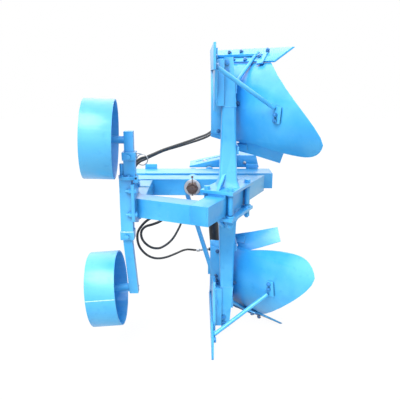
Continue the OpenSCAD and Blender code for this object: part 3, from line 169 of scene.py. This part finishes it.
class Finish:
    """A material that is being built."""

    def __init__(self, name):
        self.material = bpy.data.materials.new(name)
        self.material.use_nodes = True
        self.tree = self.material.node_tree
        self.tree.nodes.clear()

    def node(self, kind, settings=None, inputs=None, output=0):
        """Adds a node with its settings, and the values or links of its sockets."""
        made = self.tree.nodes.new(kind)
        for name, value in (settings or {}).items():
            setattr(made, name, value)
        for key, value in (inputs or {}).items():
            if isinstance(value, Socket):
                self.tree.links.new(value.output, made.inputs[key])
            else:
                made.inputs[key].default_value = value
        return Socket(self, made.outputs[output])

    def noise(self, scale, detail=3.0, rough=0.5):
        place = self.node("ShaderNodeTexCoord", output="Object")
        inputs = {"Vector": place, "Scale": scale, "Detail": detail, "Roughness": rough}
        return self.node("ShaderNodeTexNoise", {}, inputs)

    def ramp(self, value, low, high):
        """0 below low and 1 above high, with a smooth step between."""
        inputs = {"Value": value, "From Min": low, "From Max": high}
        return self.node("ShaderNodeMapRange", {"interpolation_type": "SMOOTHSTEP"}, inputs)

    def mix(self, factor, first, second):
        return self.node("ShaderNodeMix", {"data_type": "RGBA"}, {0: factor, 6: first, 7: second}, output=2)

    def bump(self, height, distance, strength=1.0, under=None):
        inputs = {"Height": height, "Distance": distance, "Strength": strength}
        if under is not None:
            inputs["Normal"] = under
        return self.node("ShaderNodeBump", {}, inputs)

    def edges(self, width):
        """1 along the edges and corners of the shape, to a width, and 0 on its faces."""
        rounded = self.node("ShaderNodeBevel", {"samples": 6}, {"Radius": width})
        face = self.node("ShaderNodeNewGeometry", output="True Normal")
        dot = {"operation": "DOT_PRODUCT"}
        same = self.node("ShaderNodeVectorMath", dot, {0: rounded, 1: face}, output="Value")
        return 1.0 - self.ramp(same, 0.86, 0.985)

    def shelter(self, reach, low, high):
        """1 in seams and hollows that are narrower than a reach, and 0 in the open."""
        openness = self.node("ShaderNodeAmbientOcclusion", {"samples": 6}, {"Distance": reach}, output=1)
        return 1.0 - self.ramp(openness, low, high)

    def surface(self, **inputs):
        keys = {name.replace("_", " "): value for name, value in inputs.items()}
        shader = self.node("ShaderNodeBsdfPrincipled", {}, keys)
        self.node_output(shader)
        return self.material

    def node_output(self, shader):
        out = self.tree.nodes.new("ShaderNodeOutputMaterial")
        self.tree.links.new(shader.output, out.inputs["Surface"])


def colour(red, green, blue):
    return (red, green, blue, 1.0)


BLUE = colour(0.028, 0.385, 0.84)
BLUE_PALE = colour(0.085, 0.515, 0.92)
BLUE_DEEP = colour(0.010, 0.265, 0.70)
DUST = colour(0.42, 0.44, 0.42)
PRIMER = colour(0.16, 0.10, 0.075)
# Dark navy of the painted shade in seams and narrow gaps
PAINTED_SEAM_SHADE = colour(0.006, 0.05, 0.16)
# Painted highlight along the edges: its pale colour, and the width of edge it covers
PAINTED_EDGE_HIGHLIGHT = colour(0.30, 0.74, 0.96)
EDGE_HIGHLIGHT_WIDTH = 0.0022
# How far the painted shade in seams and the painted shade in hollows reach
SEAM_REACH = 0.035
HOLLOW_REACH = 0.25


def painted(name, chips=0.0, dust=0.12, tones=(BLUE, BLUE_PALE, BLUE_DEEP), deep=0.45):
    """Sprayed blue enamel over rough plate: clouds of tone, dust and chips, a painted highlight along edges, and
    painted shade in seams and hollows.
    """
    f = Finish(name)
    cloud = f.noise(3.2, 4.0, 0.55)
    patch = f.noise(21.0, 5.0, 0.6)
    grain = f.noise(240.0, 3.0, 0.6)
    tone = f.mix(f.ramp(cloud, 0.32, 0.68), tones[0], tones[1])
    tone = f.mix(f.ramp(patch, 0.55, 0.80) * deep, tone, tones[2])
    tone = f.mix(f.ramp(f.noise(58.0, 6.0, 0.7), 0.58, 0.75) * dust, tone, DUST)
    chip = f.ramp(f.noise(95.0, 7.0, 0.72), 0.735 - chips, 0.75 - chips)
    tone = f.mix(chip * 0.85, tone, PRIMER)
    # Painted highlight: edges lightened towards pale blue, in random patches
    tone = f.mix(f.edges(EDGE_HIGHLIGHT_WIDTH) * f.ramp(patch, 0.30, 0.62) * 0.6, tone, PAINTED_EDGE_HIGHLIGHT)
    # Painted shade: seams and narrow gaps darkened towards dark navy
    tone = f.mix(f.shelter(SEAM_REACH, 0.25, 0.85) * 0.75, tone, PAINTED_SEAM_SHADE)
    # Painted shade: wide hollows such as the wheels' insides darkened towards the deep tone
    tone = f.mix(f.shelter(HOLLOW_REACH, 0.10, 0.75) * 0.5, tone, tones[2])
    rough = 0.34 + 0.16 * patch + 0.3 * chip
    normal = f.bump(grain, 0.0006, 0.35)
    normal = f.bump(patch, 0.0025, 0.30, normal)
    normal = f.bump(1.0 - chip, 0.0006, 0.6, normal)
    return f.surface(
        Base_Color=tone, Roughness=rough, Normal=normal, Metallic=0.0,
        Coat_Weight=0.5, Coat_Roughness=0.25, Coat_IOR=1.5,
    )


def worn_steel(name, base, rust, amount, rough):
    """Bare steel with turning marks and a bloom of rust."""
    f = Finish(name)
    bloom = f.ramp(f.noise(70.0, 6.0, 0.65), 0.62 - amount, 0.72)
    grain = f.noise(420.0, 3.0, 0.6)
    tone = f.mix(bloom, base, rust)
    tone = f.mix(grain * 0.35, tone, colour(base[0] * 0.55, base[1] * 0.55, base[2] * 0.55))
    normal = f.bump(grain, 0.0004, 0.4)
    normal = f.bump(bloom, 0.0005, 0.6, normal)
    rough = rough + 0.35 * bloom
    return f.surface(Base_Color=tone, Roughness=rough, Metallic=0.9 - 0.8 * bloom, Normal=normal)


def rubber(name):
    """Black hose rubber with fine wrap marks and dust."""
    f = Finish(name)
    grain = f.noise(900.0, 2.0, 0.5)
    dust = f.ramp(f.noise(46.0, 5.0, 0.6), 0.52, 0.78)
    tone = f.mix(dust * 0.45, colour(0.022, 0.023, 0.025), colour(0.15, 0.155, 0.16))
    return f.surface(Base_Color=tone, Roughness=0.48 + 0.3 * dust, Normal=f.bump(grain, 0.0004, 0.5))


def black_enamel(name):
    """Black enamel of the hydraulic cylinder."""
    f = Finish(name)
    patch = f.noise(26.0, 5.0, 0.6)
    tone = f.mix(f.ramp(patch, 0.5, 0.8), colour(0.013, 0.016, 0.022), colour(0.05, 0.055, 0.065))
    normal = f.bump(f.noise(300.0), 0.0004, 0.4)
    return f.surface(Base_Color=tone, Roughness=0.3 + 0.25 * patch, Normal=normal)


STEEL, STEEL_RUST = colour(0.55, 0.56, 0.57), colour(0.20, 0.10, 0.05)
OLD_STEEL, OLD_RUST = colour(0.17, 0.13, 0.12), colour(0.085, 0.036, 0.022)
ZINC, ZINC_BLOOM = colour(0.62, 0.64, 0.66), colour(0.30, 0.25, 0.22)
BRONZE, BRONZE_TARNISH = colour(0.52, 0.34, 0.14), colour(0.16, 0.10, 0.05)
FINISHES = {
    "blue_paint": painted("blue_enamel"),
    "bright_steel": worn_steel("bright_steel", STEEL, STEEL_RUST, 0.0, 0.28),
    "rusty_steel": worn_steel("rusty_steel", OLD_STEEL, OLD_RUST, 0.16, 0.5),
    "grey_washer": worn_steel("grey_washer", ZINC, ZINC_BLOOM, -0.02, 0.42),
    "bush_bronze": worn_steel("bush_bronze", BRONZE, BRONZE_TARNISH, -0.02, 0.3),
    "black_paint": black_enamel("black_enamel"),
    "hose_rubber": rubber("hose_rubber"),
}
BOLT_TONES = (colour(0.012, 0.11, 0.30), BLUE_DEEP, colour(0.03, 0.035, 0.05))
# Weld beads in paler blue: a painted highlight for the glint on their ripples, with real dust over it
WELD_HIGHLIGHT_TONES = (colour(0.22, 0.62, 0.90), colour(0.50, 0.80, 0.95), BLUE)
SHARE_PAINT = painted("share_enamel", chips=0.05, dust=0.20)
BOLT_PAINT = painted("bolt_enamel", chips=0.10, dust=0.25, tones=BOLT_TONES, deep=0.8)
WELD_HIGHLIGHT_PAINT = painted("weld_enamel", chips=0.0, dust=0.35, tones=WELD_HIGHLIGHT_TONES, deep=0.3)

# Floor, world and lights

WHITE = colour(1, 1, 1)
FLOOR_HALF = 14
FLOOR_GAP = 0.001
FLOOR_GREY = colour(0.6, 0.6, 0.6)
FLOOR_SEEN = 0.9
FLOOR_GLOW = 1.07
FLOOR_GLOSS = 0.35
SOFT_TINT = colour(0.93, 0.96, 1.0)
SOFT_SKY = (0.13, 0.56)
GLOSS_SKY = (0.55, 3.0)


def white_where_seen(finish, shader):
    """Adds light of its own to what the camera, glass and gloss see, over a shader that keeps shadows."""
    rays = finish.tree.nodes.new("ShaderNodeLightPath")
    seen = Socket(finish, rays.outputs["Is Camera Ray"])
    seen = seen.math("MAXIMUM", seen, Socket(finish, rays.outputs["Is Glossy Ray"]) * FLOOR_GLOSS)
    seen = seen.math("MAXIMUM", seen, Socket(finish, rays.outputs["Is Transmission Ray"]))
    glow = finish.node("ShaderNodeEmission", {}, {"Color": WHITE, "Strength": FLOOR_GLOW})
    return finish.node("ShaderNodeMixShader", {}, {0: seen * FLOOR_SEEN, 1: shader, 2: glow})


def make_floor():
    mesh = bpy.data.meshes.new("floor")
    shape = bmesh.new()
    bmesh.ops.create_grid(shape, x_segments=1, y_segments=1, size=FLOOR_HALF)
    shape.to_mesh(mesh)
    shape.free()
    floor = bpy.data.objects.new("floor", mesh)
    floor.location.z = CAD_BOX[0].z - FLOOR_GAP
    bpy.context.scene.collection.objects.link(floor)
    finish = Finish("floor_white")
    diffuse = finish.node("ShaderNodeBsdfDiffuse", {}, {"Color": FLOOR_GREY})
    finish.node_output(white_where_seen(finish, diffuse))
    mesh.materials.append(finish.material)


def sky_strength(nodes, links, under, overhead):
    """Strength of the sky, from one value under the horizon to another overhead."""
    way, parts = nodes.new("ShaderNodeTexCoord"), nodes.new("ShaderNodeSeparateXYZ")
    step = nodes.new("ShaderNodeMapRange")
    step.interpolation_type = "SMOOTHSTEP"
    links.new(way.outputs["Generated"], parts.inputs[0])
    links.new(parts.outputs["Z"], step.inputs["Value"])
    for key, value in (("From Min", -0.25), ("From Max", 0.75), ("To Min", under), ("To Max", overhead)):
        step.inputs[key].default_value = value
    return step.outputs[0]


def make_world():
    """Sky that is soft for shade, brighter in gloss, and plain white where the camera sees it."""
    world = bpy.data.worlds.new("studio")
    world.use_nodes = True
    bpy.context.scene.world = world
    nodes, links = world.node_tree.nodes, world.node_tree.links
    nodes.clear()
    rays = nodes.new("ShaderNodeLightPath")
    soft, white, gloss = (nodes.new("ShaderNodeBackground") for _ in range(3))
    for sky, tint in ((soft, SOFT_TINT), (white, WHITE), (gloss, WHITE)):
        sky.inputs["Color"].default_value = tint
    for sky, (under, overhead) in ((gloss, GLOSS_SKY), (soft, SOFT_SKY)):
        links.new(sky_strength(nodes, links, under, overhead), sky.inputs["Strength"])
    shiny, mixer = nodes.new("ShaderNodeMixShader"), nodes.new("ShaderNodeMixShader")
    for mix, ray, first, second in (
        (shiny, "Is Glossy Ray", soft, gloss),
        (mixer, "Is Camera Ray", shiny, white),
    ):
        links.new(rays.outputs[ray], mix.inputs[0])
        links.new(first.outputs[0], mix.inputs[1])
        links.new(second.outputs[0], mix.inputs[2])
    out = nodes.new("ShaderNodeOutputWorld")
    links.new(mixer.outputs[0], out.inputs["Surface"])


def sun(name, strength, spread, heading, height):
    """A distant lamp, from a heading round the object (0 is behind the camera) and a height in degrees."""
    data = bpy.data.lights.new(name, "SUN")
    data.energy = strength
    data.angle = math.radians(spread)
    lamp = bpy.data.objects.new(name, data)
    turn, lift = math.radians(heading), math.radians(height)
    way = Vector((math.sin(turn) * math.cos(lift), -math.cos(turn) * math.cos(lift), math.sin(lift)))
    lamp.rotation_euler = way.to_track_quat("Z", "Y").to_euler()
    bpy.context.scene.collection.objects.link(lamp)


make_floor()
make_world()
sun("key_lamp", 3.15, 42, -24, 56)
sun("fill_lamp", 0.7, 60, -14, 14)

# Meshes


def add_piece(name, mesh, finish):
    """Puts a mesh in the scene with its finish."""
    piece = bpy.data.objects.new(name, mesh)
    bpy.context.scene.collection.objects.link(piece)
    mesh.materials.append(finish)
    return piece


def tube_mesh(name, points, radius, rounds, radii=None):
    """Tube along points in the row frame, as a mesh, with a radius factor for each point."""
    data = bpy.data.curves.new(name, "CURVE")
    data.dimensions = "3D"
    data.bevel_depth = radius
    data.bevel_resolution = rounds
    data.use_fill_caps = True
    spline = data.splines.new("POLY")
    spline.points.add(len(points) - 1)
    for index, (spot, point) in enumerate(zip(spline.points, points)):
        spot.co = (*point, 1.0)
        spot.radius = radii[index] if radii else 1.0
    helper = bpy.data.objects.new(name, data)
    bpy.context.scene.collection.objects.link(helper)
    bpy.context.view_layer.update()
    mesh = bpy.data.meshes.new_from_object(helper.evaluated_get(bpy.context.evaluated_depsgraph_get()))
    bpy.data.objects.remove(helper)
    mesh.materials.clear()
    shape = bmesh.new()
    shape.from_mesh(mesh)
    bmesh.ops.remove_doubles(shape, verts=shape.verts, dist=radius * 0.02)
    bmesh.ops.recalc_face_normals(shape, faces=shape.faces)
    for face in shape.faces:
        face.smooth = True
    shape.to_mesh(mesh)
    shape.free()
    return mesh


def smooth_path(points, steps):
    """Points on the smooth curve through the given ones."""
    line = []
    ends = [points[0] * 2 - points[1], *points, points[-1] * 2 - points[-2]]
    for index in range(1, len(ends) - 2):
        a, b, c, d = ends[index - 1:index + 3]
        for step in range(steps):
            t = step / steps
            bend, twist = 2 * a - 5 * b + 4 * c - d, 3 * b - a - 3 * c + d
            line.append(0.5 * ((2 * b) + (c - a) * t + bend * t * t + twist * t ** 3))
    return [*line, points[-1]]


def path_length(line):
    return sum((b - a).length for a, b in zip(line, line[1:]))


# Hoses

HOSE_STEPS = 4
HOSE_ROUNDS = 4


def hose_run(name, line):
    """One run of hose along a line."""
    mesh = tube_mesh(name, line, HOSE_D / 2, HOSE_ROUNDS)
    hose = add_piece(name, mesh, FINISHES["hose_rubber"])
    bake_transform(hose)
    path_length(line)
    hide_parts("hoses")
    print(name, "length", round(path_length(line), 3))


def make_hose(name, route, last):
    """A hose in two runs: the long one, and one along the route's last few points."""
    line = smooth_path([place(point) for point in route], HOSE_STEPS)
    split = (len(route) - last) * HOSE_STEPS
    hose_run(name, line[:split + 1])
    hose_run(name + "_end", line[split:])


make_hose("outer_hose", OUTER_HOSE, 5)
make_hose("inner_hose", INNER_HOSE, 6)

# Weld beads

BEAD_R = 0.0034
THIN_BEAD_R = 0.0026
WALL_BEAD_R = 0.0030
COLLAR_BEAD_R = 0.0036
BEAD_ROUNDS = 2
RIPPLE = 0.005
AXIS_H = 0.81
HALF_TUBE = 0.050
FRONT_BEAM_Y = 0.656


def bead(name, points, radius=BEAD_R, closed=False, finish=FINISHES["blue_paint"]):
    """Weld bead with its ripples, along straight runs between places measured from the rear corner."""
    random.seed(name)
    corners = [place(point) for point in points]
    if closed:
        corners.append(corners[0])
    line = []
    for start, end in zip(corners, corners[1:]):
        steps = max(2, int((end - start).length / RIPPLE))
        line += [start.lerp(end, step / steps) for step in range(steps)]
    line.append(corners[-1])
    radii = [random.uniform(0.78, 1.12) for _ in line]
    mesh = tube_mesh(name, line, radius, BEAD_ROUNDS, radii)
    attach(add_piece(name, mesh, finish), "frame")


def ring_places(centre, radius, steps):
    """Places round a circle that faces the rear."""
    x, y, z = centre
    turns = [math.tau * step / steps for step in range(steps)]
    return [(x + radius * math.cos(turn), y, z + radius * math.sin(turn)) for turn in turns]


def weld_frame():
    """Beads round the rear beam's flange, the front beam's ends, the shaft's boss and the post's collar."""
    top, low = HALF_TUBE, -HALF_TUBE
    x, rear, front = -0.3672, 0.1738, 0.2846
    bead("weld_rear_flange", [(x, rear, low), (x, rear, top), (x, front, top), (x, front, low)], closed=True)
    x, y = 0.1995, FRONT_BEAM_Y
    bead("weld_front_left", [(x, y, low), (x, y, top), (0.2572, 0.778, top)])
    x, rail_top = -0.326, top - 0.001
    bead("weld_rail_right", [(x, y, low), (x, y, rail_top), (-0.400, y, rail_top)])
    bead("weld_boss", ring_places((AXIS_X, 0.6556, 0.0), 0.0405, 40), closed=True)
    left, right, rear, front, z = -0.4475, -0.3825, 0.1385, 0.2035, -0.119
    bead(
        "weld_collar", [(left, rear, z), (right, rear, z), (right, front, z), (left, front, z)],
        COLLAR_BEAD_R, True, WELD_HIGHLIGHT_PAINT,
    )


def weld_bottoms():
    """Beads under each leg's stem and along each casting's wall."""
    stem_h, stem_rear, wall_x, wall_y = 0.306, 0.3145, 0.0485, 0.303
    for side, name in ((1, "upper"), (-1, "lower")):
        stem_z = side * (AXIS_H - stem_h)
        stem = [(0.076, stem_rear, stem_z), (0.1485, stem_rear, stem_z), (0.1488, 0.398, stem_z)]
        bead(f"weld_{name}_stem", stem, THIN_BEAD_R)
        wall = [(wall_x, wall_y, side * (AXIS_H - h)) for h in (0.075, 0.297)]
        bead(f"weld_{name}_wall", wall, WALL_BEAD_R)


SEAM_START = 0.0452
SEAM_LENGTH = 0.1496
SEAM_R = 0.1965
SEAM_STEPS = 30


def weld_wheel(name, joint, body, height):
    """Seam of the rolled rim across the tread, at a height in degrees above the axle on the rear side."""
    centre = Vector(JOINTS[joint]["pos_m"])
    axis = Vector(JOINTS[joint]["axis"]).normalized()
    back = Vector((0, -1, 0))
    back = (back - axis * back.dot(axis)).normalized()
    up = axis.cross(back)
    if up.z < 0:
        up = -up
    turn = math.radians(height)
    out = back * math.cos(turn) + up * math.sin(turn)
    random.seed(name)
    line = [
        centre + axis * (SEAM_START + SEAM_LENGTH * step / SEAM_STEPS) + out * SEAM_R
        for step in range(SEAM_STEPS + 1)
    ]
    radii = [random.uniform(0.8, 1.15) for _ in line]
    mesh = tube_mesh(name, line, WALL_BEAD_R, BEAD_ROUNDS, radii)
    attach(add_piece(name, mesh, WELD_HIGHLIGHT_PAINT), body)


weld_frame()
weld_bottoms()
weld_wheel("weld_lower_rim", "lower_wheel_spin", "lower_gauge_wheel", 6)
weld_wheel("weld_upper_rim", "upper_wheel_spin", "upper_gauge_wheel", 196)

# Finishes and rounded edges of the CAD nodes

OTHER_PAINT = {
    "upper_share": SHARE_PAINT, "lower_share": SHARE_PAINT, "landsides": SHARE_PAINT,
    "plough_bolts": BOLT_PAINT,
}
ROUNDED = {
    "main_beam": 0.0012, "rear_beam": 0.0012, "front_beam": 0.003, "hitch_beam": 0.005, "side_rail": 0.002,
    "wheel_post": 0.005, "upper_wheel_arm": 0.004, "lower_wheel_arm": 0.004, "upper_sleeve": 0.003,
    "post_head": 0.006, "upper_leg": 0.004, "lower_leg": 0.004, "upper_frog": 0.003, "lower_frog": 0.003,
    "upper_share": 0.0012, "lower_share": 0.0012, "upper_mouldboard": 0.0012, "lower_mouldboard": 0.0012,
    "upper_wheel": 0.0015, "lower_wheel": 0.0015,
}
EDGE = 0.0014
MERGE_GAP = 0.00002
FLAT_ANGLE = 0.6
SHARP_ANGLE = 38


def round_edges(node, width):
    """Merges a CAD node's loose triangles, joins those that are flat and rounds its sharp edges."""
    weld = node.modifiers.new("weld", "WELD")
    weld.merge_threshold = MERGE_GAP
    flat = node.modifiers.new("flat", "DECIMATE")
    flat.decimate_type = "DISSOLVE"
    flat.angle_limit = math.radians(FLAT_ANGLE)
    edge = node.modifiers.new("edge", "BEVEL")
    edge.width = width
    edge.segments = 3
    edge.limit_method = "ANGLE"
    edge.angle_limit = math.radians(SHARP_ANGLE)
    edge.harden_normals = True
    for face in node.data.polygons:
        face.use_smooth = True


def dress_nodes():
    """Gives every CAD node its finish, and rounds all but the hoses, which the scene's own replace."""
    for row in frame["record"]["subparts"]:
        name, slot = row["node"], row["material_slot"]
        node = frame["nodes"][name]
        finish = OTHER_PAINT.get(name, FINISHES[slot])
        for index in range(len(node.material_slots)):
            node.material_slots[index].material = finish
        if not node.material_slots:
            node.data.materials.append(finish)
        if name != "hoses":
            round_edges(node, ROUNDED.get(name, EDGE))


dress_nodes()
